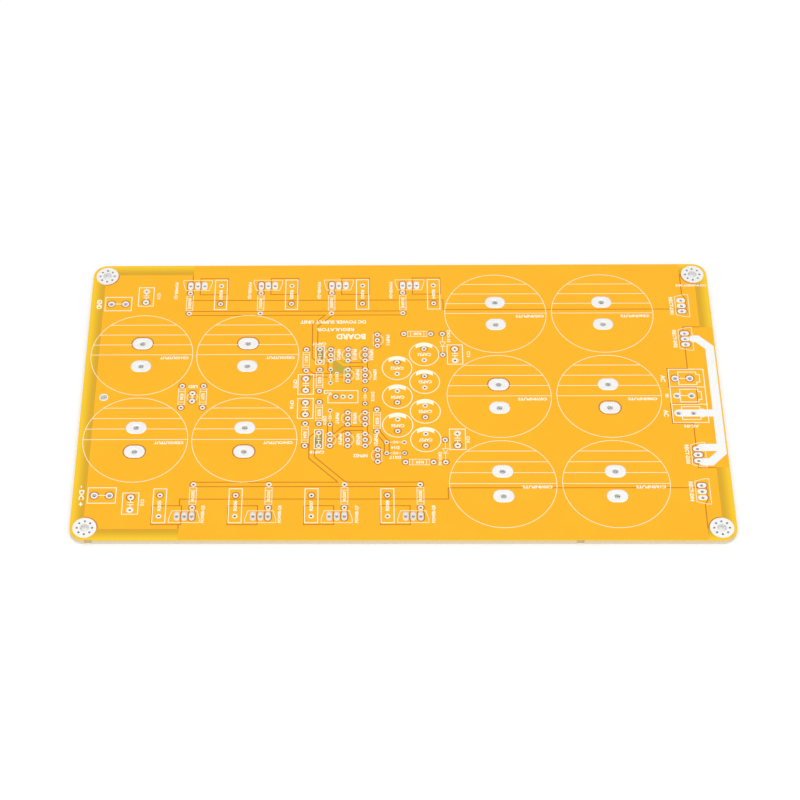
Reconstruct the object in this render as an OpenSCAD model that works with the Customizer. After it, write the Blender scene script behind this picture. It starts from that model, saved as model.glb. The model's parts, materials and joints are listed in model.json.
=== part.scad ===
// Bare double-sided power supply circuit board, lying flat with its component side up.
// X runs along the long side, Y away from the front edge, and Z up from the mounting lands.

/* [Board] */
// Length of the board along X
board_w = 220; // [219:1:260]
// Depth of the board along Y
board_d = 120; // [119:1:145]
// Thickness of the glass-epoxy laminate
laminate_t = 1.8; // [1:0.1:3.2]
// Radius of the board's corners
corner_r = 5; // [2:0.5:6]
// Width of each break-off tab mark on the front edge
tab_w = 2.4; // [1:0.2:4]
// Depth of each break-off tab mark
tab_depth = 0.3; // [0.1:0.05:0.4]

/* [Layers] */
// Thickness of the copper foil
foil_t = 0.07; // [0.035:0.005:0.14]
// Thickness of the solder mask film
mask_t = 0.03; // [0.02:0.005:0.05]
// Thickness of the mask on the side walls of the foil
mask_wall = 0.06; // [0.03:0.01:0.1]
// Height of the solder coat above the mask
coat_t = 0.02; // [0.01:0.005:0.05]
// Extra solder that the large mounting lands hold
land_crown_t = 0.02; // [0.01:0.005:0.05]
// Wall of the plating in each hole
plating_t = 0.05; // [0.03:0.01:0.08]
// Thickness of the printed legend
legend_t = 0.03; // [0.02:0.005:0.05]

/* [Copper] */
// Isolation gap between conductors
gap = 0.46; // [0.3:0.02:0.5]
// Distance from the board's edge to the rails and the AC pour
edge_gap = 0.4; // [0.3:0.1:0.8]
// Width of the bare margins
margin_w = 4.6; // [3.6:0.1:5]
// Width of the gate tracks
gate_track_w = 1.4; // [1:0.1:1.6]
// Width of the signal tracks
signal_track_w = 1.15; // [0.6:0.05:1.2]
// Width of the bare tinned AC bus
bus_w = 3; // [2:0.1:3.4]

/* [Legend lines] */
// Width of the thin printed lines
fine_w = 0.18; // [0.12:0.02:0.4]
// Width of the bold printed lines
line_w = 0.28; // [0.2:0.02:0.4]

/* [Mounting lands] */
// Distance from the board's edges to each mounting hole
hole_inset = 5; // [4.6:0.1:5.4]
// Diameter of the mounting holes
screw_d = 3.2; // [2.7:0.1:3.6]
// Diameter of the lands
land_d = 8; // [7:0.1:8.4]
// Diameter of the vias in each land
via_d = 0.8; // [0.3:0.1:0.8]
// Diameter of the circle that the vias stand on
via_ring_d = 5.1; // [4.7:0.1:5.6]
// Vias in each land
via_count = 8; // [4:1:10]

/* [Reservoir capacitors] */
// Diameter of the printed can outline
can_d = 35.8; // [30:0.2:36.4]
// Spacing of the two leads of a can
can_lead_pitch = 10.15; // [9:0.05:12]
// Length of a lead's pad along X
can_pad_l = 7.2; // [6:0.1:9]
// Width of a lead's pad along Y
can_pad_w = 5.2; // [4:0.1:5.8]
// Diameter of a lead's hole
can_hole_d = 2; // [1.5:0.1:2.6]
// Spacing of the hatch lines in each outline
hatch_step = 4.5; // [4:0.1:5]
// Centre of the output bank along X
output_bank_x = -71.8; // [-72.4:0.1:-71.2]
// Spacing of the output bank along X
output_step_x = 37.2; // [36.6:0.1:37.6]
// Centre of the input bank along X
input_bank_x = 52.85; // [52:0.05:53.6]
// Spacing of the input bank along X
input_step_x = 37.7; // [36.6:0.1:39]
// Spacing of both banks along Y
bank_step_y = 37.1; // [36.6:0.1:37.6]

/* [Power transistors] */
// Distance from the far and near edges to the transistor pins
row_inset = 9.7; // [9:0.1:10.4]
// Drain pin of the first transistor along X
first_drain_x = -72.15; // [-72.6:0.05:-71.6]
// Spacing of the transistors in a row
transistor_step = 25.32; // [24.8:0.02:25.8]
// Spacing of the pins
pin_pitch = 2.5; // [2.46:0.02:2.6]
// Width of a pin's pad
pin_pad_w = 1.95; // [1.6:0.05:2]
// Length of a pin's pad
pin_pad_l = 3.6; // [3:0.1:3.8]
// Diameter of a pin's hole
pin_hole_d = 1.1; // [0.9:0.05:1.2]
// Distance from the gate pin to the gate resistor
gate_resistor_drop = 3.45; // [3.3:0.05:3.7]
// Distance from the drain pin to the source resistor
source_resistor_x = 8.5; // [8.2:0.1:9]
// Spacing of the source resistor's leads
source_resistor_pitch = 8.45; // [8:0.05:9]

/* [Rectifiers] */
// Distance from the right edge to the rectifier pins
rectifier_inset = 10.1; // [9.8:0.1:10.6]
// Distance of the outer rectifiers from the middle line
outer_rectifier_y = 40.35; // [40:0.05:40.8]
// Distance of the inner rectifiers from the middle line
inner_rectifier_y = 25.2; // [24.6:0.1:25.8]
// Length of a rectifier pad
rectifier_pad_l = 3.2; // [2.8:0.1:3.4]

/* [Terminals] */
// Distance from the right edge to the middle of the AC terminal's pins
ac_inset = 12.6; // [12.2:0.1:12.9]
// Spacing of the two pins of one AC pole
ac_pin_pitch = 5.05; // [4.8:0.05:5.3]
// Spacing of the AC poles
ac_pole_pitch = 7.55; // [7.2:0.05:7.8]
// Distance from the left edge to the middle of a DC terminal's pins
dc_inset = 9.85; // [9.4:0.05:10.2]
// Distance of the DC terminals from the middle line
dc_y = 41.9; // [41.4:0.1:42.4]
// Spacing of the pins of a DC terminal
dc_pin_pitch = 5.05; // [4.8:0.05:5.3]
// Diameter of a terminal's pad
terminal_pad_d = 2.5; // [2.2:0.1:2.7]
// Diameter of a terminal's hole
terminal_hole_d = 1.5; // [1:0.1:1.6]
// Diameter of the earth hole's pad
earth_pad_d = 3.1; // [3:0.1:3.6]
// Diameter of the earth hole
earth_hole_d = 2.4; // [2:0.1:2.6]

/* [Small parts] */
// Diameter of a small part's pad
small_pad_d = 1.9; // [1.6:0.05:2]
// Diameter of a small part's hole
small_hole_d = 0.8; // [0.6:0.05:1]
// Spacing of a resistor's leads
resistor_pitch = 9.45; // [9.2:0.05:9.7]
// Width of a resistor's printed body
resistor_body_w = 2.3; // [1.8:0.1:2.6]
// Spacing of a film capacitor's leads
film_pitch = 5.1; // [4.9:0.05:5.3]
// Diameter of a film capacitor's pad
film_pad_d = 2.4; // [2:0.1:2.6]
// Spacing of a small capacitor's leads
small_cap_pitch = 5.5; // [5.2:0.05:5.7]
// Diameter of a small electrolytic's printed outline
electrolytic_d = 10.3; // [9.6:0.1:10.8]
// Spacing of a small electrolytic's leads
electrolytic_pitch = 5.05; // [4.8:0.05:5.3]
// Spacing of a small transistor's leads
lead_pitch = 2.5; // [2.4:0.02:2.6]
// Spacing of a power diode's leads
diode_pitch = 9.4; // [9:0.05:9.8]
// Spacing of a signal diode's leads
signal_diode_pitch = 6; // [5.8:0.05:6.2]
// Diameter of a signal diode's pad
signal_diode_pad_d = 1.6; // [1.3:0.05:1.8]
// Spacing of the trimmer's pins
trimmer_pitch = 2.54; // [2.4:0.02:2.7]
// Spacing of the indicator LED's leads
led_pitch = 3.4; // [3.2:0.05:3.6]
// Diameter of the indicator LED's pads
led_pad_d = 2.2; // [1.9:0.1:2.4]

/* [Hidden] */

$fn = 48;
eps = 1;

LAMINATE = [0.86, 0.82, 0.66];
COPPER = [0.80, 0.50, 0.28];
MASK = [1.00, 0.72, 0.22];
TIN = [0.90, 0.91, 0.92];
INK = [1.00, 0.97, 0.90];

// Edges of the board
right = board_w / 2;
left = -right;
back = board_d / 2;
front = -back;

// Heights of the layers, up from the underside of the mounting lands
pad_t = foil_t + mask_t + coat_t;
land_t = pad_t + land_crown_t;
z_under = land_t;
z_top = z_under + laminate_t;
z_print = z_top + foil_t + mask_t;
z_low_print = z_top + mask_t;

// Conductors that a pad can belong to
GROUND = "ground";
POSITIVE = "positive";
NEGATIVE = "negative";
AC = "ac";
GATE = "gate";
SOURCE = "source";
SIGNAL = "signal";
FREE = "free";
POURS = [POSITIVE, NEGATIVE, GROUND, AC];
CONDUCTORS = concat(POURS, [GATE, SOURCE, SIGNAL]);
function is_pour(net) = len([for (p = POURS) if (p == net) p]) > 0;

// Places of the reservoir capacitors: x, y, and the conductors of the far and near leads
output_cans = [
    for (sx = [-1, 1]) for (sy = [1, -1])
        [output_bank_x + sx * output_step_x / 2, sy * bank_step_y / 2,
         sy > 0 ? FREE : GROUND, sy > 0 ? GROUND : FREE]
];
input_cans = [
    for (sx = [-1, 1]) for (sy = [1, 0, -1])
        [input_bank_x + sx * input_step_x / 2, sy * bank_step_y,
         sy > 0 ? POSITIVE : sx * (1 + sy) < 0 ? FREE : GROUND,
         sy < 0 ? NEGATIVE : sx * (1 - sy) > 0 ? FREE : GROUND]
];
cans = concat(output_cans, input_cans);

// Transistor groups: each is drawn for the far row and turned half round for the near row
row_y = back - row_inset;
transistor_steps = [0:3];
function group_place(i, s, p) = [first_drain_x + i * transistor_step + s * p.x, s * (row_y + p.y)];
function group_pads(points, far_net, near_net) = [
    for (s = [1, -1]) for (i = transistor_steps) for (p = points)
        concat(group_place(i, s, p), [s > 0 ? far_net : near_net])
];
gate_at = [-pin_pitch, 0];
source_at = [pin_pitch, 0];
gate_resistor_top = [-pin_pitch, -gate_resistor_drop];
gate_resistor_end = [-pin_pitch, -gate_resistor_drop - resistor_pitch];
source_resistor_top = [source_resistor_x, 0];
source_resistor_end = [source_resistor_x, -source_resistor_pitch];
link_low = [pin_pitch / 2, -3.95];
link_high = [source_resistor_x + 2.15, 3.2];

// Rectifiers: place along Y and the conductor of each pin, far pin first
rectifier_x = right - rectifier_inset;
rectifiers = [
    [outer_rectifier_y, [POSITIVE, POSITIVE, FREE]],
    [inner_rectifier_y, [FREE, AC, FREE]],
    [-inner_rectifier_y, [AC, FREE, AC]],
    [-outer_rectifier_y, [FREE, NEGATIVE, NEGATIVE]]
];

// Terminals
ac_x = right - ac_inset;
ac_poles = [[ac_pole_pitch, FREE], [0, GROUND], [-ac_pole_pitch, AC]];
ac_box_left = ac_x - 4.6;
ac_box_right = ac_x + 7.4;
ac_box_y = 1.5 * ac_pole_pitch + 0.25;
dc_x = left + dc_inset;
earth_at = [left + 7.55, -0.3, GROUND];

// Small parts: x, y, and the conductors of the far and near leads
film_caps = [
    [left + 19.6, 45.2, GROUND, FREE], [left + 19.6, -45.2, FREE, GROUND],
    [19.25, 18.35, FREE, GROUND], [19.25, -18.6, GROUND, FREE],
    [-32.65, 5.2, FREE, FREE], [-32.65, -5.3, FREE, FREE]
];
small_caps = [[-27.9, 18.2, FREE, GATE], [-27.9, -18.5, GATE, FREE]];
electrolytics = [
    [8.5, 18.5, FREE, GROUND], [-1, 12.4, FREE, GROUND], [8.5, 6.3, FREE, GROUND],
    [-1, -0.2, GROUND, FREE], [8.5, -6.6, GROUND, FREE], [-1, -12.5, GROUND, FREE],
    [8.5, -18.7, GROUND, FREE]
];
// Small transistors: x, y, side of the round face, and the conductors of the three leads
small_transistors = [
    [-7.85, 25, 1, [FREE, FREE, FREE]],
    [-24.1, 18.35, -1, [FREE, SIGNAL, GATE]],
    [-18.05, 18.35, -1, [FREE, FREE, FREE]],
    [-12.1, 18.35, -1, [FREE, FREE, SIGNAL]],
    [-18.05, 9.25, 1, [FREE, SIGNAL, FREE]],
    [-12.1, 9.25, 1, [SIGNAL, FREE, FREE]],
    [-18.05, -9.6, -1, [FREE, FREE, FREE]],
    [-12.1, -9.6, -1, [FREE, FREE, SIGNAL]],
    [-24.1, -18.7, 1, [SIGNAL, SIGNAL, FREE]],
    [-18.05, -18.7, 1, [FREE, FREE, FREE]],
    [-12.1, -18.7, 1, [SIGNAL, FREE, FREE]],
    [-7.85, -25.4, -1, [FREE, FREE, FREE]]
];
// Two-lead axial parts: x, y, turn, and the conductors of the first and second lead
resistors = [
    [-32.65, 16.1, 90, SIGNAL, FREE], [-27.9, 7.1, 90, FREE, FREE],
    [-27.9, -7.2, 90, FREE, FREE], [-32.6, -16.5, 90, FREE, FREE],
    [-8.05, -10.5, 90, SIGNAL, FREE], [-75.5, -0.1, 90, FREE, FREE],
    [-68.05, -0.1, 90, FREE, FREE], [6.25, 27.75, 0, FREE, FREE], [6.25, -28.15, 0, FREE, FREE]
];
diodes = [[15.05, 23.05, 90, FREE, FREE], [15.05, -23.5, 90, FREE, FREE]];
signal_diodes = [
    [-24.1, 8.9, 90, GROUND, GATE], [-12.1, -0.2, 90, FREE, FREE], [-24.1, -9.15, 90, SIGNAL, GROUND],
    [-1.8, -19.8, 0, SIGNAL, GROUND], [-1.8, -24.4, 0, SIGNAL, FREE]
];
trimmer_at = [-19.7, -0.15];
led_at = [-71.8, -0.3];

function two_leads(parts, pitch) = [
    for (p = parts) for (s = [1, -1]) [p[0], p[1] + s * pitch / 2, s > 0 ? p[2] : p[3]]
];
function axial_leads(parts, pitch) = [
    for (p = parts) for (s = [-1, 1])
        [p[0] + s * cos(p[2]) * pitch / 2, p[1] + s * sin(p[2]) * pitch / 2, s < 0 ? p[3] : p[4]]
];

// Pad sets: places with their conductor, pad length along X, pad length along Y, hole
land_set = [
    [for (sx = [-1, 1]) for (sy = [-1, 1]) [sx * (right - hole_inset), sy * (back - hole_inset), FREE]],
    land_d, land_d, screw_d
];
reservoir_set = [two_leads(cans, can_lead_pitch), can_pad_l, can_pad_w, can_hole_d];
power_transistor_set = [
    concat(group_pads([gate_at], GATE, GATE), group_pads([[0, 0]], POSITIVE, NEGATIVE),
           group_pads([source_at], SOURCE, SOURCE)),
    pin_pad_w, pin_pad_l, pin_hole_d
];
gate_resistor_set = [
    group_pads([gate_resistor_top, gate_resistor_end], GATE, GATE), small_pad_d, small_pad_d, small_hole_d
];
source_resistor_set = [
    concat(group_pads([source_resistor_top], SOURCE, SOURCE),
           group_pads([source_resistor_end], FREE, FREE)),
    small_pad_d, small_pad_d, small_hole_d
];
rectifier_set = [
    [for (r = rectifiers) for (i = [0:2]) [rectifier_x, r[0] + (1 - i) * pin_pitch, r[1][i]]],
    rectifier_pad_l, pin_pad_w, pin_hole_d
];
ac_terminal_set = [
    [for (p = ac_poles) for (s = [-1, 1]) [ac_x + s * ac_pin_pitch / 2, p[0], p[1]]],
    terminal_pad_d, terminal_pad_d, terminal_hole_d
];
dc_terminal_set = [
    [for (sy = [1, -1]) for (s = [-1, 1]) [dc_x + s * dc_pin_pitch / 2, sy * dc_y, FREE]],
    terminal_pad_d, terminal_pad_d, terminal_hole_d
];
earth_set = [[earth_at], earth_pad_d, earth_pad_d, earth_hole_d];
film_cap_set = [two_leads(film_caps, film_pitch), film_pad_d, film_pad_d, small_hole_d];
small_cap_set = [two_leads(small_caps, small_cap_pitch), small_pad_d, small_pad_d, small_hole_d];
electrolytic_set = [
    two_leads(electrolytics, electrolytic_pitch), small_pad_d, small_pad_d, small_hole_d
];
small_transistor_set = [
    [for (t = small_transistors) for (i = [0:2]) [t[0], t[1] + (1 - i) * lead_pitch, t[3][i]]],
    small_pad_d, small_pad_d, small_hole_d
];
resistor_set = [axial_leads(resistors, resistor_pitch), small_pad_d, small_pad_d, small_hole_d];
diode_set = [axial_leads(diodes, diode_pitch), small_pad_d, small_pad_d, small_hole_d];
signal_diode_set = [
    axial_leads(signal_diodes, signal_diode_pitch), signal_diode_pad_d, signal_diode_pad_d, small_hole_d
];
trimmer_set = [
    [for (i = [-1, 0, 1]) [trimmer_at.x + i * trimmer_pitch, trimmer_at.y, i < 0 ? FREE : GROUND]],
    small_pad_d, small_pad_d, small_hole_d
];
led_set = [
    [for (s = [1, -1]) [led_at.x, led_at.y + s * led_pitch / 2, FREE]],
    led_pad_d, led_pad_d, small_hole_d
];
PAD_SETS = [
    land_set, reservoir_set, power_transistor_set, gate_resistor_set, source_resistor_set,
    rectifier_set, ac_terminal_set, dc_terminal_set, earth_set, film_cap_set, small_cap_set,
    electrolytic_set, small_transistor_set, resistor_set, diode_set, signal_diode_set,
    trimmer_set, led_set
];

// Borders between the pours
rail_left_x = first_drain_x - 1.8;
rail_y = row_y - 6.9;
rail_step_x = input_bank_x - input_step_x / 2 - can_d / 2 - 0.5;
rail_can_y = bank_step_y + 1.75;
rail_right_x = rectifier_x + 0.5;
rectifier_moat_x = rectifier_pad_l / 2 - 0.15;
rail_border = [
    [rail_left_x, back + eps], [rail_left_x, rail_y], [rail_step_x, rail_y], [rail_step_x, rail_can_y],
    [rectifier_x, rail_can_y], [rectifier_x + rectifier_moat_x, rail_can_y],
    [rectifier_x + rectifier_moat_x, outer_rectifier_y + 2 * pin_pitch - 1.2],
    [rail_right_x, outer_rectifier_y + 2 * pin_pitch], [rail_right_x, back + eps]
];
ac_left_x = ac_box_left - 0.35;
ac_link_x = rectifier_x - 0.4;
ac_end_y = inner_rectifier_y + 5.4;
ac_pole_x = ac_x + 4.4;
ac_pole_y = ac_pole_pitch / 2 - 0.3;
ac_border = [
    [right + eps, ac_end_y], [ac_link_x, ac_end_y], [ac_link_x, ac_box_y + 0.3],
    [ac_left_x, ac_box_y + 0.3], [ac_left_x, ac_pole_y], [ac_pole_x, ac_pole_y],
    [ac_pole_x, -ac_pole_y], [ac_left_x, -ac_pole_y], [ac_left_x, -ac_box_y - 0.3],
    [ac_link_x, -ac_box_y - 0.3], [ac_link_x, -ac_end_y], [right + eps, -ac_end_y]
];
bare_patch = [[-24.1, 18.35], [-24.1, 9.25], [-18.05, 9.25], [-18.05, 13.7], [-19.45, 13.7]];
bare_window = [2.6, 4];

// Gate tracks: one bus along each row of gate resistors, with a branch to the driver
gate_bus_far = [for (i = [0, 3]) group_place(i, 1, gate_resistor_end)];
gate_bus_near = [for (i = [0, 3]) group_place(i, -1, gate_resistor_end)];
gate_branch_far = [
    group_place(2, 1, gate_resistor_end), [-29.7, 31.7], [-29.7, 17.4], [-27.9, 15.45],
    [-24.1, 15.85], [-24.1, 11.9]
];
gate_branch_near = [group_place(2, -1, gate_resistor_end), [-30.2, -26.2], [-30.2, -18], [-27.9, -15.75]];
gate_stubs = [
    for (s = [1, -1]) for (i = transistor_steps)
        [group_place(i, s, gate_at), group_place(i, s, gate_resistor_top)]
];
gate_paths = concat([gate_bus_far, gate_bus_near, gate_branch_far, gate_branch_near], gate_stubs);

// Signal tracks between the small parts
signal_paths = [
    [[-32.65, 11.4], [-30.5, 9.25], [-18.05, 9.25]],
    [[-24.1, 18.35], [-19.7, 13.95], [-12.1, 13.95]],
    [[-12.1, 15.85], [-12.1, 11.75]],
    [[-24.1, -12.15], [-24.1, -16.2]],
    [[-24.1, -18.7], [-19.4, -14], [-12.1, -14]],
    [[-12.1, -12.1], [-12.1, -16.2]],
    [[-8.05, -15.2], [-4.8, -19.8], [-4.8, -24.4]]
];

// AC bus: from the second rectifier round the edge to the third, with two branches
bus_x = right - edge_gap - 0.1 - bus_w / 2;
bus_bend = 4;
bus_far_x = rectifier_x + rectifier_pad_l / 2 + bus_w / 2 - 0.2;
bus_near_x = rectifier_x + bus_w / 2;
bus_branch_y = pin_pitch + (bus_w - pin_pad_w) / 2;
bus_paths = [
    [
        [bus_far_x, inner_rectifier_y], [bus_x - bus_bend, inner_rectifier_y],
        [bus_x, inner_rectifier_y - bus_bend], [bus_x, -bus_w]
    ],
    [
        [bus_near_x, -inner_rectifier_y - bus_branch_y],
        [bus_x - bus_bend, -inner_rectifier_y - bus_branch_y],
        [bus_x, -inner_rectifier_y - bus_branch_y + bus_bend], [bus_x, bus_w]
    ],
    [[ac_x - ac_pin_pitch / 2, -ac_pole_pitch], [bus_x, -ac_pole_pitch]],
    [[bus_near_x, -inner_rectifier_y + bus_branch_y], [bus_x, -inner_rectifier_y + bus_branch_y]]
];

// Plain shapes: an open line or a closed anticlockwise loop of even width, with mitred corners
function side(a, b) = let (u = (b - a) / norm(b - a)) [-u.y, u.x];
function corner(before, after) = let (s = before + after) 2 * s / (s * s);
function path_sides(path) = [for (i = [1:len(path) - 1]) side(path[i - 1], path[i])];
function path_corners(path) =
    let (sides = path_sides(path), last = len(sides) - 1)
    [for (i = [0:last + 1]) corner(sides[max(i - 1, 0)], sides[min(i, last)])];
function loop_corners(path) =
    let (n = len(path), sides = path_sides(concat(path, [path[0]])))
    [for (i = [0:n - 1]) corner(sides[(i + n - 1) % n], sides[i])];

module stroke(path, w) {
    corners = path_corners(path);
    last = len(path) - 1;
    polygon(concat([for (i = [0:last]) path[i] - corners[i] * w / 2],
                   [for (i = [last:-1:0]) path[i] + corners[i] * w / 2]));
}

module loop(path, w) {
    corners = loop_corners(path);
    difference() {
        polygon(path - corners * w / 2);
        polygon(path + corners * w / 2);
    }
}

module strokes(paths, w) {
    for (path = paths) stroke(path, w);
}

module frame(size, w) {
    difference() {
        square([size.x + w, size.y + w], center = true);
        square([size.x - w, size.y - w], center = true);
    }
}

module ring(d, w) {
    difference() {
        circle(d = d + w);
        circle(d = d - w);
    }
}

// A round pad, or an oblong one with round ends
module oblong(l, w) {
    thick = min(l, w);
    run_x = (l - thick) / 2;
    run_y = (w - thick) / 2;
    translate([run_x, run_y]) circle(d = thick);
    if (l != w) {
        translate([-run_x, -run_y]) circle(d = thick);
        square([l == thick ? l : 2 * run_x, w == thick ? w : 2 * run_y], center = true);
    }
}

module faces(set, grow = 0) {
    for (p = set[0]) translate([p.x, p.y]) oblong(set[1] + 2 * grow, set[2] + 2 * grow);
}

module all_faces() {
    for (set = PAD_SETS) faces(set);
}

// What the pads take out of one conductor: a moat, or only the pad where they are joined
module pad_moats(net, moat) {
    for (set = PAD_SETS) for (p = set[0]) {
        grow = p[2] == net ? 0 : moat;
        translate([p.x, p.y]) oblong(set[1] + 2 * grow, set[2] + 2 * grow);
    }
}

// Board
module board_area() {
    difference() {
        union() {
            square([board_w - 2 * corner_r, board_d], center = true);
            square([board_w, board_d - 2 * corner_r], center = true);
            for (sx = [-1, 1]) for (sy = [-1, 1])
                translate([sx * (right - corner_r), sy * (back - corner_r)]) circle(r = corner_r);
        }
        for (x = [left + 6.5, 58.5]) translate([x, front]) square([tab_w, 2 * tab_depth], center = true);
    }
}

module drills() {
    for (set = PAD_SETS) for (p = set[0])
        translate([p.x, p.y]) circle(d = set[3] + 2 * plating_t);
    land_vias() circle(d = via_d + 2 * plating_t);
}

module land_vias() {
    for (p = land_set[0]) translate([p.x, p.y]) via_ring() children();
}

module via_ring() {
    for (i = [1:via_count]) rotate(i * 360 / via_count) translate([0, via_ring_d / 2]) children();
}

module laminate() {
    color(LAMINATE) translate([0, 0, z_under]) linear_extrude(laminate_t) difference() {
        board_area();
        drills();
    }
}

// Copper on the component side
module rail_zone(grow) {
    intersection() {
        polygon(rail_border);
        square([board_w, board_d - 2 * edge_gap + 2 * grow], center = true);
    }
}

module ac_zone(grow) {
    intersection() {
        polygon(ac_border);
        square([board_w - 2 * edge_gap + 2 * grow, board_d], center = true);
    }
}

module ground_zone(grow) {
    difference() {
        square([board_w - 2 * margin_w + 2 * grow, board_d - 2 * margin_w + 2 * grow], center = true);
        polygon(rail_border);
        mirror([0, 1]) polygon(rail_border);
        polygon(ac_border);
    }
}

module source_area(grow) {
    size = link_high - link_low + [2 * grow, 2 * grow];
    for (s = [1, -1]) for (i = transistor_steps)
        translate(group_place(i, s, (link_low + link_high) / 2)) square(size, center = true);
}

module zone(net, grow) {
    if (net == POSITIVE) rail_zone(grow);
    if (net == NEGATIVE) mirror([0, 1]) rail_zone(grow);
    if (net == AC) ac_zone(grow);
    if (net == GROUND) ground_zone(grow);
    if (net == SOURCE) source_area(grow);
    if (net == GATE) strokes(gate_paths, gate_track_w + 2 * grow);
    if (net == SIGNAL) strokes(signal_paths, signal_track_w + 2 * grow);
}

module pour_gaps(moat, grow) {
    stroke(rail_border, gap - 2 * grow);
    mirror([0, 1]) stroke(rail_border, gap - 2 * grow);
    stroke(ac_border, gap - 2 * grow);
    strokes(gate_paths, gate_track_w + 2 * moat);
    strokes(signal_paths, signal_track_w + 2 * moat);
    source_area(moat);
    polygon(bare_patch);
    for (c = small_caps) translate([c.x, c.y]) square(bare_window - [2 * grow, 2 * grow], center = true);
}

// One conductor, or with grow the mask that wraps it
module net_area(net, grow = 0) {
    moat = gap - grow;
    difference() {
        zone(net, grow);
        if (is_pour(net)) pour_gaps(moat, grow);
        pad_moats(net, moat);
    }
}

module conductor(net) {
    color(COPPER) translate([0, 0, z_top]) linear_extrude(foil_t) net_area(net);
}

module positive_rail() { conductor(POSITIVE); }
module negative_rail() { conductor(NEGATIVE); }
module ground_pour() { conductor(GROUND); }
module ac_pour() { conductor(AC); }
module gate_tracks() { conductor(GATE); }
module source_links() { conductor(SOURCE); }
module signal_tracks() { conductor(SIGNAL); }

// Copper on the underside: one ground pour inside the margins
module underside_area(grow = 0) {
    difference() {
        square([board_w - 2 * margin_w + 2 * grow, board_d - 2 * margin_w + 2 * grow], center = true);
        pad_moats(GROUND, gap - grow);
    }
}

module underside_pour() {
    color(COPPER) translate([0, 0, z_under - foil_t]) linear_extrude(foil_t) underside_area();
}

// Solder mask: a film that lies on the laminate and steps up over the foil.
// Its children are the area of the film, the area that stands over foil, and the foil itself.
module mask_film() {
    color(MASK) difference() {
        linear_extrude(foil_t + mask_t) children(0);
        translate([0, 0, mask_t]) linear_extrude(foil_t + eps) difference() {
            board_area();
            children(1);
        }
        translate([0, 0, -eps]) linear_extrude(foil_t + eps) children(2);
    }
}

module masked_area() {
    difference() {
        board_area();
        all_faces();
    }
}

module conductor_areas(grow = 0) {
    for (net = CONDUCTORS) net_area(net, grow);
}

module bus_area() {
    for (path = bus_paths) {
        stroke(path, bus_w);
        translate(path[0]) circle(d = bus_w);
    }
}

module top_mask() {
    translate([0, 0, z_top]) mask_film() {
        difference() {
            masked_area();
            bus_area();
        }
        difference() {
            conductor_areas(mask_wall);
            bus_area();
        }
        conductor_areas();
    }
}

module underside_mask() {
    translate([0, 0, z_under]) mirror([0, 0, 1]) mask_film() {
        masked_area();
        underside_area(mask_wall);
        underside_area();
    }
}

// Bare tinned bus: solder on the AC pour, up to the pads that it feeds
module ac_bus() {
    color(TIN) translate([0, 0, z_top + foil_t]) linear_extrude(mask_t + coat_t) difference() {
        bus_area();
        all_faces();
    }
}

// Plated holes: a tinned pad on each side, joined by the plating in the hole
module plated_hole(l, w, hole_d, t) {
    difference() {
        union() {
            translate([0, 0, z_under - t]) linear_extrude(t) oblong(l, w);
            translate([0, 0, z_under]) cylinder(d = hole_d + 2 * plating_t, h = laminate_t);
            translate([0, 0, z_top]) linear_extrude(t) oblong(l, w);
        }
        translate([0, 0, z_under - t - eps]) cylinder(d = hole_d, h = laminate_t + 2 * t + 2 * eps);
    }
}

module plated_holes(set) {
    color(TIN) for (p = set[0]) translate([p.x, p.y]) plated_hole(set[1], set[2], set[3], pad_t);
}

module mounting_land() {
    difference() {
        union() {
            plated_hole(land_d, land_d, screw_d, land_t);
            via_ring() translate([0, 0, z_under]) cylinder(d = via_d + 2 * plating_t, h = laminate_t);
        }
        via_ring() translate([0, 0, -eps]) cylinder(d = via_d, h = laminate_t + 2 * land_t + 2 * eps);
    }
}

module mounting_lands() {
    color(TIN) for (p = land_set[0]) translate([p.x, p.y]) mounting_land();
}

module reservoir_pads() { plated_holes(reservoir_set); }
module power_transistor_pads() { plated_holes(power_transistor_set); }
module gate_resistor_pads() { plated_holes(gate_resistor_set); }
module source_resistor_pads() { plated_holes(source_resistor_set); }
module rectifier_pads() { plated_holes(rectifier_set); }
module ac_terminal_pads() { plated_holes(ac_terminal_set); }
module dc_terminal_pads() { plated_holes(dc_terminal_set); }
module earth_pad() { plated_holes(earth_set); }
module film_cap_pads() { plated_holes(film_cap_set); }
module small_cap_pads() { plated_holes(small_cap_set); }
module electrolytic_pads() { plated_holes(electrolytic_set); }
module small_transistor_pads() { plated_holes(small_transistor_set); }
module resistor_pads() { plated_holes(resistor_set); }
module diode_pads() { plated_holes(diode_set); }
module signal_diode_pads() { plated_holes(signal_diode_set); }
module trimmer_pads() { plated_holes(trimmer_set); }
module led_pads() { plated_holes(led_set); }

// Printed legend: ink on the mask, kept off the pads and the bare bus
module print(set, z = z_print) {
    color(INK) translate([0, 0, z]) linear_extrude(legend_t) difference() {
        children();
        faces(set);
        bus_area();
    }
}

module can_outline() {
    ring(can_d, fine_w);
    for (i = [0:3]) {
        half = sqrt(pow(can_d / 2, 2) - pow(i * hatch_step, 2));
        translate([0, i * hatch_step]) square([2 * half, fine_w], center = true);
    }
}

module can_outlines() {
    for (c = cans) translate([c.x, c.y]) can_outline();
}

// The outlines on the left run onto the bare margin, where the mask lies lower
module low_margin() {
    translate([left, front]) square([margin_w - mask_wall, board_d]);
}

module reservoir_legend() {
    print(reservoir_set) difference() {
        can_outlines();
        low_margin();
    }
    print(reservoir_set, z_low_print) intersection() {
        can_outlines();
        low_margin();
    }
}

// Outline of an upright power package, with its broad face towards +Y
tab_half = 5.15;
face_half = 4.2;
tab_y = 2.6;
shoulder_y = 1.2;
face_y = -2.15;
package_outline = [
    [tab_half, tab_y], [-tab_half, tab_y], [-tab_half, shoulder_y],
    [-face_half, face_y], [face_half, face_y], [tab_half, shoulder_y]
];

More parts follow.
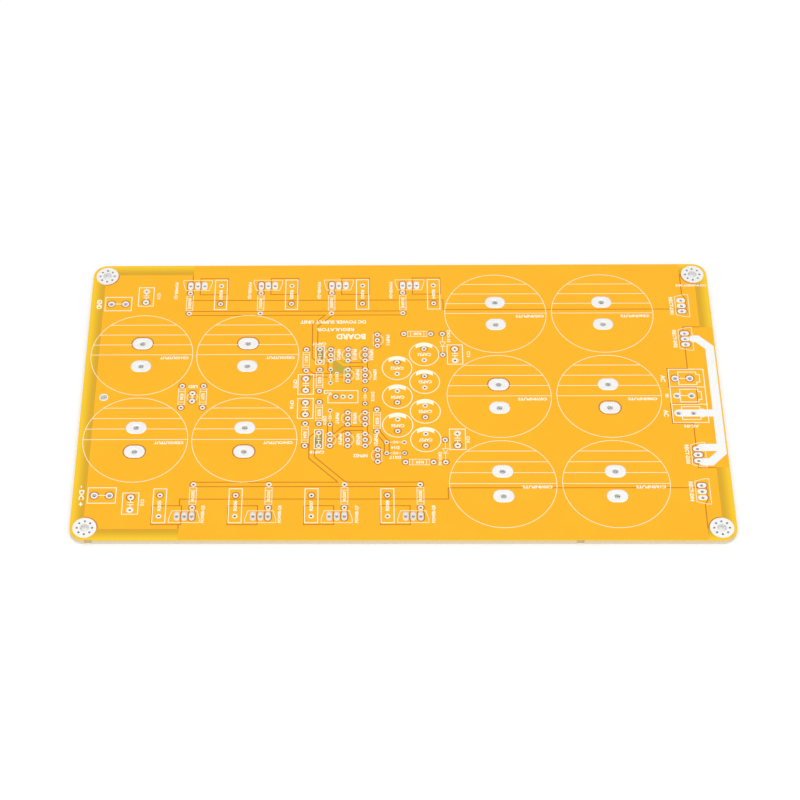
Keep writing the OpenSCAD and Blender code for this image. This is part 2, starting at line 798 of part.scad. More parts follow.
module power_transistor_legend() {
    print(power_transistor_set) for (s = [1, -1]) for (i = transistor_steps)
        translate(group_place(i, s, [0, 0])) rotate(s > 0 ? 0 : 180) loop(package_outline, fine_w);
}

module rectifier_legend() {
    print(rectifier_set) for (r = rectifiers)
        translate([rectifier_x, r[0]]) rotate(-90) loop(package_outline, fine_w);
}

source_box_w = 4.35;
source_box_over = 5.35;

module source_resistor_legend() {
    size = [source_box_w, source_resistor_pitch + source_box_over];
    print(source_resistor_set) for (s = [1, -1]) for (i = transistor_steps)
        translate(group_place(i, s, (source_resistor_top + source_resistor_end) / 2)) frame(size, line_w);
}

// A resistor's body between its pads, with a cap line near each end
body_clear = 0.35;
cap_line = 1.1;

module resistor_body() {
    body_l = resistor_pitch - small_pad_d - 2 * body_clear;
    frame([body_l, resistor_body_w], fine_w);
    for (s = [-1, 1])
        translate([s * (body_l / 2 - cap_line), 0]) square([fine_w, resistor_body_w], center = true);
}

module resistor_legend() {
    print(resistor_set) {
        for (s = [1, -1]) for (i = transistor_steps)
            translate(group_place(i, s, (gate_resistor_top + gate_resistor_end) / 2))
                rotate(90) resistor_body();
        for (r = resistors) translate([r[0], r[1]]) rotate(r[2]) resistor_body();
    }
}

// One pole of the AC terminal: a stepped socket outline and a line between the two pins
socket_half = 2.75;
socket_left = -1.4;
socket_right = 4.8;
spout_half = 1.7;
spout_right = 5.9;
socket_path = [
    [socket_left, -socket_half], [socket_right, -socket_half], [socket_right, -spout_half],
    [spout_right, -spout_half], [spout_right, spout_half], [socket_right, spout_half],
    [socket_right, socket_half], [socket_left, socket_half]
];

module ac_terminal_legend() {
    size = [ac_box_right - ac_box_left, 2 * ac_box_y];
    print(ac_terminal_set) {
        translate([(ac_box_left + ac_box_right) / 2, 0]) frame(size, line_w);
        for (y = [-ac_pole_pitch / 2, ac_pole_pitch / 2])
            stroke([[ac_box_left, y], [ac_box_right, y]], line_w);
        for (p = ac_poles) translate([ac_x, p[0]]) {
            loop(socket_path, line_w);
            square([ac_pin_pitch, line_w], center = true);
        }
    }
}

dc_box = [9.4, 6.3];

module dc_terminal_legend() {
    print(dc_terminal_set) for (s = [1, -1]) translate([dc_x, s * dc_y]) {
        frame(dc_box, line_w);
        square([dc_pin_pitch, line_w], center = true);
    }
}

// Two plates and their leads, between two pads along Y
plate_half_gap = 0.45;

module capacitor_mark(pitch, plate_w) {
    lead_l = pitch / 2 - plate_half_gap;
    for (s = [-1, 1]) {
        translate([0, s * plate_half_gap]) square([plate_w, line_w], center = true);
        translate([0, s * (pitch - lead_l) / 2]) square([line_w, lead_l], center = true);
    }
}

film_box_w = 5.35;
film_box_over = 3.55;
film_plate_w = 2.2;

module film_cap_legend() {
    print(film_cap_set) for (c = film_caps) translate([c.x, c.y]) {
        frame([film_box_w, film_pitch + film_box_over], line_w);
        capacitor_mark(film_pitch, film_plate_w);
    }
}

small_cap_box_w = 2.9;
small_cap_box_over = 2.5;
small_cap_plate_w = 1.4;

module small_cap_legend() {
    print(small_cap_set) for (c = small_caps) translate([c.x, c.y])
        frame([small_cap_box_w, small_cap_pitch + small_cap_box_over], line_w);
    print(small_cap_set, z_low_print) for (c = small_caps) translate([c.x, c.y])
        capacitor_mark(small_cap_pitch, small_cap_plate_w);
}

// A round outline with a filled crescent on the negative side
crescent_w = 5.8;
crescent_h = 1.6;

module electrolytic_outline() {
    ring(electrolytic_d, line_w);
    intersection() {
        difference() {
            circle(d = electrolytic_d);
            translate([0, -crescent_h]) circle(d = electrolytic_d);
        }
        translate([0, electrolytic_d / 2]) square([crescent_w, electrolytic_d], center = true);
    }
}

module electrolytic_legend() {
    print(electrolytic_set) for (c = electrolytics) translate([c.x, c.y]) electrolytic_outline();
}

// A round face cut off flat behind the leads
face_r = 2.75;
face_x = -0.55;
flat_x = -1.45;

module round_face(r, cut_x) {
    intersection() {
        translate([face_x, 0]) circle(r = r);
        translate([cut_x, -r]) square([2 * r, 2 * r]);
    }
}

module small_transistor_outline() {
    difference() {
        round_face(face_r, flat_x);
        round_face(face_r - fine_w, flat_x + fine_w);
    }
}

module small_transistor_legend() {
    print(small_transistor_set) for (t = small_transistors)
        translate([t[0], t[1]]) rotate(t[2] > 0 ? 0 : 180) small_transistor_outline();
}

// A triangle and bar between two leads along X
module diode_mark(pitch, size) {
    loop([[-size / 2, size / 2], [-size / 2, -size / 2], [size / 2, 0]], fine_w);
    translate([size / 2, 0]) square([fine_w, size], center = true);
    for (s = [-1, 1])
        translate([s * (pitch + size) / 4, 0]) square([(pitch - size) / 2, fine_w], center = true);
}

diode_mark_d = 2;
signal_mark_d = 1.1;

module diode_legend() {
    print(diode_set) for (d = diodes)
        translate([d[0], d[1]]) rotate(d[2] + 180) diode_mark(diode_pitch, diode_mark_d);
    print(signal_diode_set) for (d = signal_diodes)
        translate([d[0], d[1]]) rotate(d[2]) diode_mark(signal_diode_pitch, signal_mark_d);
}

trimmer_path = [
    [-5.2, -2.75], [5.1, -2.75], [5.1, 2.6], [-6.5, 2.6], [-6.5, 1.35], [-5.2, 1.35]
];

module trimmer_legend() {
    print(trimmer_set) translate(trimmer_at) loop(trimmer_path, line_w);
}

led_ring_d = 3.6;
led_mark_d = 0.8;

module led_legend() {
    print(led_set) translate(led_at) {
        ring(led_ring_d, fine_w);
        rotate(90) diode_mark(led_pitch, led_mark_d);
    }
}

laminate();
positive_rail();
negative_rail();
ground_pour();
ac_pour();
gate_tracks();
source_links();
signal_tracks();
underside_pour();
top_mask();
underside_mask();
ac_bus();
mounting_lands();
reservoir_pads();
power_transistor_pads();
gate_resistor_pads();
source_resistor_pads();
rectifier_pads();
ac_terminal_pads();
dc_terminal_pads();
earth_pad();
film_cap_pads();
small_cap_pads();
electrolytic_pads();
small_transistor_pads();
resistor_pads();
diode_pads();
signal_diode_pads();
trimmer_pads();
led_pads();
reservoir_legend();
power_transistor_legend();
source_resistor_legend();
rectifier_legend();
ac_terminal_legend();
dc_terminal_legend();
film_cap_legend();
small_cap_legend();
electrolytic_legend();
small_transistor_legend();
resistor_legend();
diode_legend();
trimmer_legend();
led_legend();
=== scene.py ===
import json
import math

import bpy
from mathutils import Euler, Matrix, Vector


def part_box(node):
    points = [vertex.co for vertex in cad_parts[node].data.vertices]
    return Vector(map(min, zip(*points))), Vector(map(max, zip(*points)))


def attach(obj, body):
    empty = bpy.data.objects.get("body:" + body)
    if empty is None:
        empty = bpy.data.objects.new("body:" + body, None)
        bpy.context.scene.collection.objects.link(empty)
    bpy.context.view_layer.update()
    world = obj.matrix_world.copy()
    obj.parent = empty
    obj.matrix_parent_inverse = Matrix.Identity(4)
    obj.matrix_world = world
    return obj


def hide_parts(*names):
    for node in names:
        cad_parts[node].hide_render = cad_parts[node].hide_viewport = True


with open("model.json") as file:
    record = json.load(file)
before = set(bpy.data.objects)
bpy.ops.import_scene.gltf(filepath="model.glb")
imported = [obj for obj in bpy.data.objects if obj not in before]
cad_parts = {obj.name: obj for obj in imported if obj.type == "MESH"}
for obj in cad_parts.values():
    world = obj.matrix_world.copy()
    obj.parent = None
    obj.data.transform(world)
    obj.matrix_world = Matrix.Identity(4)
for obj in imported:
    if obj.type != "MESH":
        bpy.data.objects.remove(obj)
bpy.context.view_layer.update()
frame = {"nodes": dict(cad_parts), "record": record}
NODES = frame["nodes"]
MM = 0.001

# Heights of the board's layers and its half sizes in metres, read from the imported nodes
Z_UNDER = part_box("laminate")[0].z
Z_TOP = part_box("laminate")[1].z
Z_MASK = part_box("top_mask")[1].z
INK_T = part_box("electrolytic_legend")[1].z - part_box("electrolytic_legend")[0].z
HALF_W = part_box("laminate")[1].x
HALF_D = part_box("laminate")[1].y

# Thickness of the mask where it lies on the laminate, and of the plating in a hole
MASK_T = 0.03 * MM
PLATING_T = 0.05 * MM
Z_LOW = Z_TOP + MASK_T

# Film below the first height lies on the laminate, and film above the second one on the foil
LOW_FILM = 0.032 * MM
HIGH_FILM = 0.09 * MM


# Linear colour from the usual 0 to 255 values
def linear(r, g, b):
    def one(v):
        v /= 255.0
        return v / 12.92 if v <= 0.04045 else ((v + 0.055) / 1.055) ** 2.4
    return (one(r), one(g), one(b), 1.0)


# Node material helpers
class Mat:
    def __init__(self, name):
        self.mat = bpy.data.materials.new(name)
        self.mat.use_nodes = True
        self.tree = self.mat.node_tree
        self.bsdf = self.tree.nodes["Principled BSDF"]

    def add(self, kind, **values):
        n = self.tree.nodes.new(kind)
        for k, v in values.items():
            setattr(n, k, v)
        return n

    def link(self, a, b):
        self.tree.links.new(a, b)

    def place(self):
        return self.add("ShaderNodeTexCoord").outputs["Object"]

    def xyz(self):
        s = self.add("ShaderNodeSeparateXYZ")
        self.link(self.place(), s.inputs[0])
        return s.outputs[0], s.outputs[1], s.outputs[2]

    def noise(self, scale, detail, rough):
        n = self.add("ShaderNodeTexNoise")
        n.inputs["Scale"].default_value = scale
        n.inputs["Detail"].default_value = detail
        n.inputs["Roughness"].default_value = rough
        self.link(self.place(), n.inputs["Vector"])
        return n.outputs["Fac"]

    def math(self, op, a, b=None):
        n = self.add("ShaderNodeMath", operation=op)
        for i, v in enumerate((a, b)):
            if v is None:
                continue
            if isinstance(v, (int, float)):
                n.inputs[i].default_value = v
            else:
                self.link(v, n.inputs[i])
        return n.outputs[0]

    def span(self, v, a, b, to_a=0.0, to_b=1.0):
        n = self.add("ShaderNodeMapRange")
        n.inputs["From Min"].default_value = a
        n.inputs["From Max"].default_value = b
        n.inputs["To Min"].default_value = to_a
        n.inputs["To Max"].default_value = to_b
        self.link(v, n.inputs["Value"])
        return n.outputs["Result"]

    def mix(self, fac, a, b):
        n = self.add("ShaderNodeMix", data_type="RGBA")
        self.link(fac, n.inputs["Factor"])
        for name, v in (("A", a), ("B", b)):
            socket = [s for s in n.inputs if s.name == name and s.type == "RGBA"][0]
            if isinstance(v, tuple):
                socket.default_value = v
            else:
                self.link(v, socket)
        return [s for s in n.outputs if s.type == "RGBA"][0]

    # 1 within a box on the board, given in mm as x, y, half width and half depth
    def inside(self, x, y, box):
        cx, cy, half_x, half_y = (v * MM for v in box)
        near_x = self.math("LESS_THAN", self.math("ABSOLUTE", self.math("SUBTRACT", x, cx)), half_x)
        near_y = self.math("LESS_THAN", self.math("ABSOLUTE", self.math("SUBTRACT", y, cy)), half_y)
        return self.math("MULTIPLY", near_x, near_y)

    def color(self, v):
        self.link(v, self.bsdf.inputs["Base Color"])

    def set(self, name, v):
        if isinstance(v, (int, float)):
            self.bsdf.inputs[name].default_value = v
        else:
            self.link(v, self.bsdf.inputs[name])

    def bump(self, height, strength, distance):
        n = self.add("ShaderNodeBump")
        n.inputs["Strength"].default_value = strength
        n.inputs["Distance"].default_value = distance
        self.link(height, n.inputs["Height"])
        self.link(n.outputs["Normal"], self.bsdf.inputs["Normal"])


# Colours of the mask over foil, in the gaps with painted shade, and on the margins with a painted glow of
# light through the laminate at the edge and painted shade towards the foil
OVER_FOIL = (0.955, 0.436, 0.005, 1.0)
OVER_FOIL_PALER = (0.965, 0.452, 0.007, 1.0)
OVER_FOIL_GRAIN = (0.98, 0.50, 0.03, 1.0)
# Painted light: a glow through the laminate at the margin's edge, and painted shade on the margin next to
# the foil
MARGIN_EDGE_GLOW = (0.90, 0.55, 0.010, 1.0)
MARGIN_INNER_SHADE = (0.67, 0.37, 0.010, 1.0)
# Gap colour: the mask's own tone over bare laminate, darkened with painted shade of the grooves
GAP_BROWN_AND_SHADE = linear(196, 118, 24)

# Distances from the board's edge over which the margin's painted glow turns to painted shade, and past
# which only gaps are low
MARGIN_SHADE = (0.8 * MM, 3.4 * MM)
MARGIN_END = (4.6 * MM, 4.9 * MM)

# Places without foil round the driver parts: box on the board in mm, and colour
BARE = [
    ((-20.75, 14.0, 2.9, 4.5), linear(192, 165, 52)),
    ((-27.9, 18.2, 1.4, 2.1), linear(160, 140, 65)),
    ((-27.9, -18.5, 1.4, 2.1), linear(160, 140, 65)),
]


# Solder mask: orange over copper, brown with painted shade in the gaps, yellow on the margins with a
# painted glow of light through the laminate towards the edges and painted shade towards the foil
def mask_material(name, low_z, high_z):
    m = Mat(name)
    x, y, z = m.xyz()
    edge_x = m.math("SUBTRACT", HALF_W, m.math("ABSOLUTE", x))
    edge_y = m.math("SUBTRACT", HALF_D, m.math("ABSOLUTE", y))
    edge = m.math("MINIMUM", edge_x, edge_y)
    # Painted glow near the board's edge, fading to painted shade near the foil
    low = m.mix(m.span(edge, *MARGIN_SHADE), MARGIN_EDGE_GLOW, MARGIN_INNER_SHADE)
    low = m.mix(m.span(edge, *MARGIN_END), low, GAP_BROWN_AND_SHADE)
    for box, tone in BARE:
        low = m.mix(m.inside(x, y, box), low, tone)
    blotch = m.noise(scale=90.0, detail=4.0, rough=0.55)
    grain = m.noise(scale=2600.0, detail=2.0, rough=0.5)
    over = m.mix(m.span(blotch, 0.35, 0.65), OVER_FOIL, OVER_FOIL_PALER)
    over = m.mix(m.span(grain, 0.3, 0.7, 0.0, 0.05), over, OVER_FOIL_GRAIN)
    m.color(m.mix(m.span(z, low_z, high_z), low, over))
    m.set("Roughness", m.span(grain, 0.3, 0.7, 0.40, 0.52))
    m.set("Specular IOR Level", 0.3)
    m.bump(m.noise(scale=900.0, detail=3.0, rough=0.5), strength=0.06, distance=0.04 * MM)
    return m.mat


# Glass fibre layers of the laminate, and the heights over which its cut edge loses the painted light from
# the floor and gets darker
LAYER_PITCH = 0.18 * MM
FLOOR_LIGHT_BAND = (0.5 * MM, 1.3 * MM)

# Break-off marks on the front edge: boxes on the board in mm
BREAK_MARKS = [(x, -59.7, 1.25, 0.2) for x in (-103.5, 58.5)]


# Laminate: fibre layers on the cut edge, paler towards the floor with painted light from the floor, and
# olive at the break-off marks
def laminate_material():
    m = Mat("laminate_look")
    x, y, z = m.xyz()
    layers = m.math("SINE", m.math("MULTIPLY", z, 2 * math.pi / LAYER_PITCH))
    fibre = m.noise(scale=1500.0, detail=4.0, rough=0.6)
    tone = m.mix(m.span(fibre, 0.3, 0.7), linear(210, 195, 150), linear(194, 177, 134))
    tone = m.mix(m.span(layers, 0.2, 1.0, 0.0, 0.22), tone, linear(176, 158, 120))
    # Painted light from the floor on the lower part of the cut edge
    tone = m.mix(m.span(z, *FLOOR_LIGHT_BAND), linear(210, 199, 187), tone)
    for box in BREAK_MARKS:
        tone = m.mix(m.inside(x, y, box), tone, linear(186, 166, 108))
    m.color(tone)
    m.set("Roughness", m.span(fibre, 0.3, 0.7, 0.45, 0.65))
    m.bump(layers, strength=0.15, distance=0.02 * MM)
    return m.mat


# Copper foil: bare metal with uneven tarnish
def copper_material():
    m = Mat("copper_look")
    tone = m.noise(scale=400.0, detail=4.0, rough=0.6)
    m.color(m.mix(m.span(tone, 0.3, 0.7), linear(212, 138, 92), linear(184, 108, 66)))
    m.set("Metallic", 1.0)
    m.set("Roughness", m.span(tone, 0.3, 0.7, 0.28, 0.45))
    return m.mat


# The near row of power pins gets painted shade on its solder, a dimmer painted reflection: where that
# begins and is full, and half the row's width
NEAR_ROW_SHADE_Y = (-44.0 * MM, -47.0 * MM)
NEAR_ROW_SHADE_HALF = 98.0 * MM


# Tin: bright solder levelled by hot air, with soft pools and a fine grain, a duller coat in the bores, and
# painted shade on the near row where given
def tin_material(name, bright, dull, bore_tone, bore_metal, near_row_shade=None, metal=1.0):
    m = Mat(name)
    x, y, z = m.xyz()
    depth = m.math("ABSOLUTE", m.math("SUBTRACT", z, (Z_TOP + Z_UNDER) / 2))
    bore = m.math("LESS_THAN", depth, (Z_TOP - Z_UNDER) / 2)
    pool = m.noise(scale=700.0, detail=3.0, rough=0.5)
    grain = m.noise(scale=6000.0, detail=2.0, rough=0.5)
    face = m.mix(m.span(pool, 0.35, 0.65), bright, dull)
    # Painted shade: the near row's solder is dimmed to stand for a weaker reflection
    if near_row_shade:
        between_lands = m.math("LESS_THAN", m.math("ABSOLUTE", x), NEAR_ROW_SHADE_HALF)
        face = m.mix(m.math("MULTIPLY", m.span(y, *NEAR_ROW_SHADE_Y), between_lands), face, near_row_shade)
    m.color(m.mix(bore, face, bore_tone))
    m.set("Metallic", m.span(bore, 0.0, 1.0, metal, bore_metal))
    m.set("Roughness", m.span(grain, 0.3, 0.7, 0.40, 0.54))
    m.bump(pool, strength=0.12, distance=0.03 * MM)
    return m.mat


# Printing ink: white with thin spots where the mask shows through
def ink_material():
    m = Mat("ink_look")
    thin = m.noise(scale=3000.0, detail=3.0, rough=0.6)
    m.color(m.mix(m.span(thin, 0.55, 0.8, 0.0, 0.5), linear(255, 246, 226), linear(255, 226, 160)))
    m.set("Roughness", m.span(thin, 0.3, 0.7, 0.5, 0.7))
    m.bump(thin, strength=0.1, distance=0.02 * MM)
    return m.mat


TOP_MASK = mask_material("top_mask_look", Z_TOP + LOW_FILM, Z_TOP + HIGH_FILM)
UNDER_MASK = mask_material("underside_mask_look", Z_UNDER - LOW_FILM, Z_UNDER - HIGH_FILM)
LAMINATE = laminate_material()
COPPER = copper_material()
TIN = tin_material("tin_look", bright=linear(253, 252, 250), dull=linear(247, 246, 244),
                   bore_tone=linear(239, 239, 238), bore_metal=0.45, near_row_shade=linear(234, 228, 219))
FINE_TIN = tin_material("fine_tin_look", bright=linear(254, 247, 230), dull=linear(247, 239, 221),
                        bore_tone=linear(230, 226, 222), bore_metal=1.0)
BUS_TIN = tin_material("bus_tin_look", bright=linear(247, 247, 246), dull=linear(245, 245, 244),
                       bore_tone=linear(239, 239, 238), bore_metal=0.45, metal=0.45)
INK = ink_material()

SLOT_LOOKS = {"laminate": LAMINATE, "copper": COPPER, "tin": TIN, "ink": INK, "mask": TOP_MASK}
NODE_SLOTS = {s["node"]: s["material_slot"] for s in frame["record"]["subparts"]}


def dress(obj, mat):
    if not obj.data.materials:
        obj.data.materials.append(mat)
    for i in range(len(obj.data.materials)):
        obj.data.materials[i] = mat


for name, obj in NODES.items():
    dress(obj, SLOT_LOOKS[NODE_SLOTS[name]])
dress(NODES["underside_mask"], UNDER_MASK)
dress(NODES["ac_bus"], BUS_TIN)


def new_piece(name, verts, faces, mat, smooth=True):
    mesh = bpy.data.meshes.new(name)
    mesh.from_pydata(verts, [], faces)
    mesh.update()
    if smooth:
        mesh.polygons.foreach_set("use_smooth", [True] * len(mesh.polygons))
    obj = bpy.data.objects.new(name, mesh)
    bpy.context.scene.collection.objects.link(obj)
    mesh.materials.append(mat)
    return obj


# Rebuilt plated holes: places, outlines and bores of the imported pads, as x, y, length, width and bore
def pad_places(obj):
    per_micron = 1e6
    mesh = obj.data
    keys = {}
    index = []
    for v in mesh.vertices:
        k = tuple(round(c * per_micron) for c in v.co)
        index.append(keys.setdefault(k, len(keys)))
    parent = list(range(len(keys)))

    def root(i):
        while parent[i] != i:
            parent[i] = parent[parent[i]]
            i = parent[i]
        return i

    for p in mesh.polygons:
        a = root(index[p.vertices[0]])
        for v in p.vertices[1:]:
            parent[root(index[v])] = a
    groups = {}
    for v in mesh.vertices:
        groups.setdefault(root(index[v.index]), []).append((v.co.x, v.co.y))
    out = []
    for points in groups.values():
        xs = [q[0] for q in points]
        ys = [q[1] for q in points]
        cx = (max(xs) + min(xs)) / 2
        cy = (max(ys) + min(ys)) / 2
        bore = 2 * min(math.hypot(q[0] - cx, q[1] - cy) for q in points)
        out.append((cx, cy, max(xs) - min(xs), max(ys) - min(ys), bore))
    return sorted(out)


# Round parts have this many sides, and start half a side from the x axis
SEGMENTS = 32
ANGLES = [2 * math.pi * (k + 0.5) / SEGMENTS for k in range(SEGMENTS)]


def circle(r):
    return [(r * math.cos(a), r * math.sin(a)) for a in ANGLES]


# Pad outline: a circle, or a slot with round ends
def contour(l, w):
    r = min(l, w) / 2
    run_x = max(l - w, 0) / 2
    run_y = max(w - l, 0) / 2
    return [(x * r + math.copysign(run_x, x), y * r + math.copysign(run_y, y)) for x, y in circle(1.0)]


def mixed(a, b, t):
    return [(p[0] + (q[0] - p[0]) * t, p[1] + (q[1] - p[1]) * t) for p, q in zip(a, b)]


# Solder over the pad, from its rim to the hole's edge: share of the way, and share of the full height
DOME = [(0.0, 0.80), (0.10, 0.93), (0.30, 1.0), (0.62, 1.0), (0.85, 0.94), (0.95, 0.82), (1.0, 0.60)]


def plated_hole(verts, faces, place, height):
    cx, cy, l, w, bore = place
    outer = contour(l, w)
    inner = circle(bore / 2)
    sleeve = circle(bore / 2 + PLATING_T)
    rings = [(outer, Z_TOP)]
    rings += [(mixed(outer, inner, t), Z_TOP + height * h) for t, h in DOME]
    rings += [(mixed(outer, inner, t), Z_UNDER - height * h) for t, h in reversed(DOME)]
    rings += [(outer, Z_UNDER), (sleeve, Z_UNDER), (sleeve, Z_TOP)]
    start = len(verts)
    for points, z in rings:
        verts += [(cx + p[0], cy + p[1], z) for p in points]
    n = len(rings)
    for i in range(n):
        a = start + i * SEGMENTS
        b = start + (i + 1) % n * SEGMENTS
        for k in range(SEGMENTS):
            j = (k + 1) % SEGMENTS
            faces.append((a + k, a + j, b + j, b + k))


# Pads with a bore below this get the warmer tin of the small pads
FINE_BORE = 1.0 * MM

for node in [n for n in NODES if n.endswith("_pads") or n == "earth_pad"]:
    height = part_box(node)[1].z - Z_TOP
    places = pad_places(NODES[node])
    verts, faces = [], []
    for place in places:
        plated_hole(verts, faces, place, height)
    fine = places[0][4] < FINE_BORE
    piece = new_piece(node + "_solder", verts, faces, FINE_TIN if fine else TIN)
    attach(piece, "root")
    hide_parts(node)


# Printed words: generic designators and plain function words, turned as on the board
HEAD_DOWN = 180
TOP_TO_BOTTOM = 270
BOTTOM_TO_TOP = 90

# Widening of the letters' strokes, as a share of their size, and steps of their curves
STROKE = 0.035
CURVE_STEPS = 2

word_meshes = []


# One word: its middle, length and height in mm, its turn in degrees and the height of the film below it
def word(text, x, y, length, height, turn=HEAD_DOWN, base=Z_MASK):
    curve = bpy.data.curves.new("word", "FONT")
    curve.body = text
    curve.size = 1.0
    curve.extrude = 0.5
    curve.offset = STROKE
    curve.resolution_u = CURVE_STEPS
    obj = bpy.data.objects.new("word", curve)
    bpy.context.scene.collection.objects.link(obj)
    bpy.context.view_layer.update()
    mesh = bpy.data.meshes.new_from_object(obj)
    bpy.data.objects.remove(obj)
    xs = [v.co.x for v in mesh.vertices]
    ys = [v.co.y for v in mesh.vertices]
    wide = max(xs) - min(xs)
    tall = max(ys) - min(ys)
    mid = Vector(((max(xs) + min(xs)) / 2, (max(ys) + min(ys)) / 2, 0))
    scale = Matrix.Diagonal((length * MM / wide, height * MM / tall, INK_T, 1))
    turned = Matrix.Rotation(math.radians(turn), 4, "Z")
    at = Matrix.Translation((x * MM, y * MM, base + INK_T / 2))
    mesh.transform(at @ turned @ scale @ Matrix.Translation(-mid))
    word_meshes.append(mesh)


# Reservoir capacitors: middles of the cans, and the names' places beside the lowest printed line
OUTPUT_CANS = [(-90.4, 18.55), (-53.2, 18.55), (-90.4, -18.55), (-53.2, -18.55)]
INPUT_CANS = [(34.0, 37.1), (71.7, 37.1), (34.0, 0.0), (71.7, 0.0), (34.0, -37.1), (71.7, -37.1)]
CAN_NAME = (10.0, 1.2)
CAN_NAME_DROP = 1.4
OUTPUT_NAME_X = 11.5
FIRST_INPUT_NAME_X = 12.1
INPUT_NAME_X = 11.4
for i, (x, y) in enumerate(OUTPUT_CANS):
    word("C%02d/OUTPUT" % (i + 1), x + OUTPUT_NAME_X, y - CAN_NAME_DROP, *CAN_NAME)
for i, (x, y) in enumerate(INPUT_CANS):
    name_x = INPUT_NAME_X if i else FIRST_INPUT_NAME_X
    word("C%02d/INPUTS" % (i + 5), x + name_x, y - CAN_NAME_DROP, *CAN_NAME)

# Power transistors and their resistors, with the far and the near name's distance from the drain
FIRST_DRAIN = -72.15
DRAIN_STEP = 25.32
FAR_NAME_X = [7.65, 6.6, 7.1, 6.8]
NEAR_NAME_X = [6.2, 6.4, 6.7, 6.85]
SOURCE_X, SOURCE_Y = 8.5, 46.1
GATE_X, GATE_Y = 2.5, 42.1
SOURCE_NAME = (4.2, 1.25)
GATE_NAME = (4.0, 1.15)
for i in range(4):
    drain = FIRST_DRAIN + DRAIN_STEP * i
    word("POWER-Q%d" % (i + 1), drain - FAR_NAME_X[i], 48.0, 7.8, 1.35, TOP_TO_BOTTOM)
    word("POWER-Q%d" % (i + 5), drain + NEAR_NAME_X[i], -49.5, 7.0, 1.35, BOTTOM_TO_TOP)
    for s, turn, q in ((1, TOP_TO_BOTTOM, i + 1), (-1, BOTTOM_TO_TOP, i + 5)):
        word("RS%02d" % q, drain + s * SOURCE_X, s * SOURCE_Y, *SOURCE_NAME, turn)
        word("RG%02d" % q, drain - s * GATE_X, s * GATE_Y, *GATE_NAME, turn)

# Rectifiers
RECTIFIER_X = 96.3
for i, y in enumerate((40.35, 25.2, -25.0, -40.4)):
    word("RECT-D%02d" % (i + 1), RECTIFIER_X, y, 8.0, 1.35, TOP_TO_BOTTOM)

# Terminals: the DC words stand on the low film of the left margin
word("AC", 90.7, 7.5, 2.9, 1.7, TOP_TO_BOTTOM)
word("0", 91.5, 0.0, 1.2, 1.7)
word("AC", 90.6, -7.6, 2.9, 1.7, TOP_TO_BOTTOM)
word("AC-IN", 98.8, -13.2, 4.9, 1.2)
word("GND", -107.0, 41.8, 4.4, 1.9, TOP_TO_BOTTOM, Z_LOW)
word("- DC +", -107.0, -42.0, 8.4, 1.8, TOP_TO_BOTTOM, Z_LOW)

# Film capacitors, small capacitors and small electrolytics
FILM_CAPS = [(-85.9, 45.5), (-86.4, -44.8), (24.0, 18.5), (22.8, -18.7)]
ELECTROLYTICS = [
    (8.6, 18.4), (-1.0, 12.3), (8.7, 6.2), (-0.9, -0.5), (8.5, -6.7), (-1.0, -12.8), (8.4, -18.9),
]
for i, (x, y) in enumerate(FILM_CAPS):
    word("C%d" % (i + 11), x, y, 2.7, 1.2, TOP_TO_BOTTOM)
word("CF15", -36.35, 5.5, 3.8, 1.3, TOP_TO_BOTTOM)
word("CF16", -37.3, -3.6, 3.8, 1.3, TOP_TO_BOTTOM)
word("CAP17", -28.2, 23.3, 4.9, 1.25)
word("CAP18", -28.4, -24.0, 4.9, 1.25)
for i, (x, y) in enumerate(ELECTROLYTICS):
    word("CAP%d" % (i + 21), x, y, 4.6, 1.35)

# Small transistors: places of their names
SMALL_TRANSISTORS = [
    (-4.1, 25.0), (-21.3, 18.4), (-15.7, 18.5), (-9.85, 18.3), (-14.75, 9.5), (-8.7, 9.4),
    (-21.7, -9.6), (-15.6, -9.6), (-20.6, -18.5), (-14.5, -18.6), (-8.4, -18.8),
]
for i, (x, y) in enumerate(SMALL_TRANSISTORS):
    word("%s%d" % ("NPN" if i % 2 else "PNP", i + 11), x, y, 4.7, 1.3, TOP_TO_BOTTOM)
word("NPN22", -13.7, -25.5, 4.8, 1.35)

# Resistors, diodes, trimmer and indicator
UPRIGHT_RESISTORS = [
    (-32.6, 16.3), (-27.85, 7.0), (-27.85, -7.2), (-32.6, -16.7), (-8.0, -10.8),
    (-75.4, -0.2), (-68.15, -0.1),
]
for i, (x, y) in enumerate(UPRIGHT_RESISTORS):
    word("R%d" % (i + 31), x, y, 2.8, 1.15, TOP_TO_BOTTOM)
word("R38", 6.3, 27.75, 2.7, 1.1)
word("R39", 6.3, -28.2, 2.7, 1.1)
word("DS11", -21.9, 8.5, 4.2, 1.15, TOP_TO_BOTTOM)
word("DS12", -9.45, -0.2, 4.2, 1.15, TOP_TO_BOTTOM)
word("DS13", -25.9, -10.5, 3.7, 1.15, TOP_TO_BOTTOM)
word("D14", -1.9, -22.1, 2.8, 1.2)
word("DS17", -2.0, -26.2, 3.9, 1.25)
word("DIO-15", 17.2, 26.6, 5.5, 1.15, TOP_TO_BOTTOM)
word("DIO-16", 13.2, -26.8, 5.6, 1.15, TOP_TO_BOTTOM)
word("VR", -24.4, 1.1, 1.9, 1.25)
word("LED", -71.75, 4.3, 3.2, 1.25)

# Title block: plain words of the same size in the same place
word("DC POWER SUPPLY UNIT", -23.4, 33.3, 23.2, 1.5)
word("REGULATOR", -22.6, 29.8, 13.2, 1.45)
word("BOARD", -17.1, 26.6, 10.3, 2.5)
word("COMPONENT SIDE", 104.1, 49.8, 11.0, 0.95)

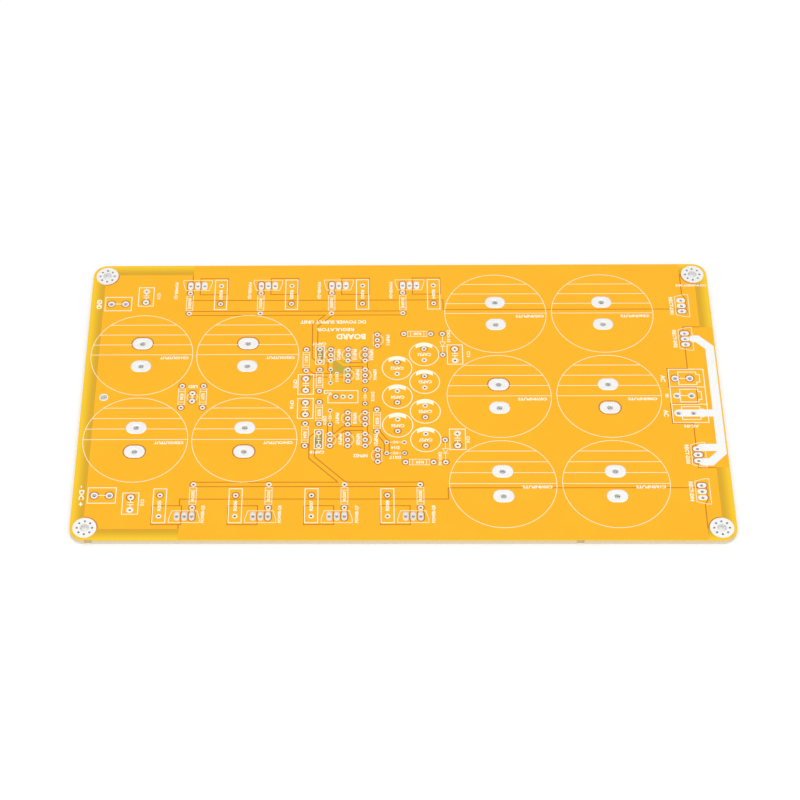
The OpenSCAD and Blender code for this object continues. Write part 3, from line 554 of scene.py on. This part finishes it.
verts, faces = [], []
for mesh in word_meshes:
    start = len(verts)
    verts += [tuple(v.co) for v in mesh.vertices]
    faces += [tuple(start + i for i in p.vertices) for p in mesh.polygons]
    bpy.data.meshes.remove(mesh)
words = new_piece("printed_words", verts, faces, INK, smooth=False)
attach(words, "root")


# Studio: a plain white floor, an even white surround, a broad overhead light and a weak front one
def floor_material():
    m = Mat("floor_look")
    speck = m.noise(scale=14.0, detail=2.0, rough=0.5)
    m.color(m.mix(m.span(speck, 0.3, 0.7), (0.955, 0.955, 0.955, 1.0), (0.965, 0.965, 0.965, 1.0)))
    m.set("Roughness", 0.9)
    m.set("Specular IOR Level", 0.0)
    return m.mat


# Half the floor's side in metres
FLOOR = 6
floor = new_piece("floor", [(-FLOOR, -FLOOR, 0), (FLOOR, -FLOOR, 0), (FLOOR, FLOOR, 0), (-FLOOR, FLOOR, 0)],
                  [(0, 1, 2, 3)], floor_material(), smooth=False)

scene = bpy.context.scene
world = bpy.data.worlds.new("surround")
scene.world = world
world.use_nodes = True
back = world.node_tree.nodes["Background"]
back.inputs["Color"].default_value = (1.0, 1.0, 1.0, 1.0)
back.inputs["Strength"].default_value = 0.85


def soft_light(name, place, size, power):
    data = bpy.data.lights.new(name, "AREA")
    data.shape = "RECTANGLE"
    data.size = size[0]
    data.size_y = size[1]
    data.energy = power
    obj = bpy.data.objects.new(name, data)
    obj.location = place
    obj.rotation_euler = (-Vector(place)).to_track_quat("-Z", "Y").to_euler()
    scene.collection.objects.link(obj)


soft_light("overhead", place=(0.0, -0.3, 1.6), size=(2.2, 1.6), power=8.6)
soft_light("front_fill", place=(0.0, -1.1, 0.16), size=(1.6, 0.3), power=3.4)

# Camera: solved from the four mounting holes in the photo
cam_data = bpy.data.cameras.new("camera")
cam_data.sensor_width = 36.0
cam_data.lens = 101.0456
cam_data.shift_x = 0.12021
cam_data.shift_y = 0.00476
cam_data.clip_start = 0.01
cam = bpy.data.objects.new("camera", cam_data)
cam.location = (-0.0105533, -0.4757278, 0.6129609)
cam.rotation_euler = Euler((0.6584425, 0.0242311, 0.0165591), "XYZ")
scene.collection.objects.link(cam)
scene.camera = cam
scene.view_settings.view_transform = "Standard"
